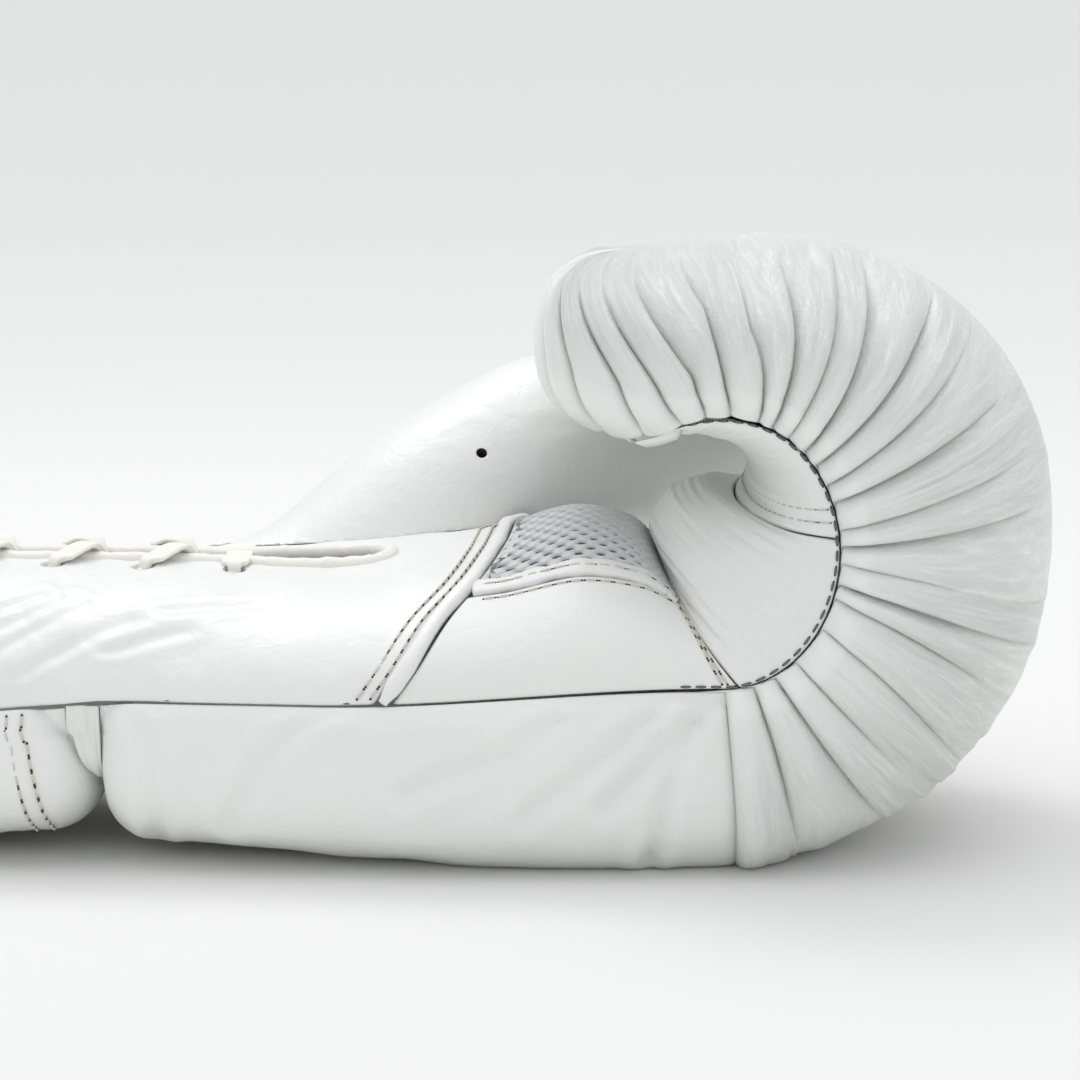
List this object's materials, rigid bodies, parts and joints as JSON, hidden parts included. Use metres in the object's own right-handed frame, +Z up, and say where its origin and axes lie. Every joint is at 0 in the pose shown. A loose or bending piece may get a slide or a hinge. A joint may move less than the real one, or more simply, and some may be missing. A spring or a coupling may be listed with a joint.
{
  "type": "lace-up boxing glove",
  "caption": "Padded left-hand boxing glove that lies palm up, with a curled fist, a hollow for the hand, a thumb and a laced cuff.",
  "frame": {"origin": "middle of the glove's outer box, on the surface that it lies on", "axes": "+X from the wrist to the knuckles, +Y to the thumb's side, +Z up; the palm faces up"},
  "size_m": [0.3346, 0.1668, 0.1424],
  "materials": {
    "padded_leather": "white full-grain leather, semi-gloss, over foam padding",
    "panel_leather": "white full-grain leather, semi-gloss",
    "soft_leather": "thin white leather, satin",
    "netting": "light grey ventilating net",
    "binding": "cream rolled leather edge",
    "lace_cotton": "ivory flat woven cotton"
  },
  "bodies": {
    "root": {"hand_shell": "padded_leather", "cuff_pad": "padded_leather", "thumb": "padded_leather", "heel_panel": "panel_leather", "thumb_base": "panel_leather", "heel_piping": "panel_leather", "wrist_gusset": "soft_leather", "palm_side": "soft_leather", "palm_far": "soft_leather", "mesh_edge_near": "soft_leather", "mesh_edge_far": "soft_leather", "grip_panel": "soft_leather", "finger_panel": "soft_leather", "palm_mesh": "netting", "slot_binding": "binding", "cuff_binding": "binding", "lace": "lace_cotton"}
  },
  "joints": []
}
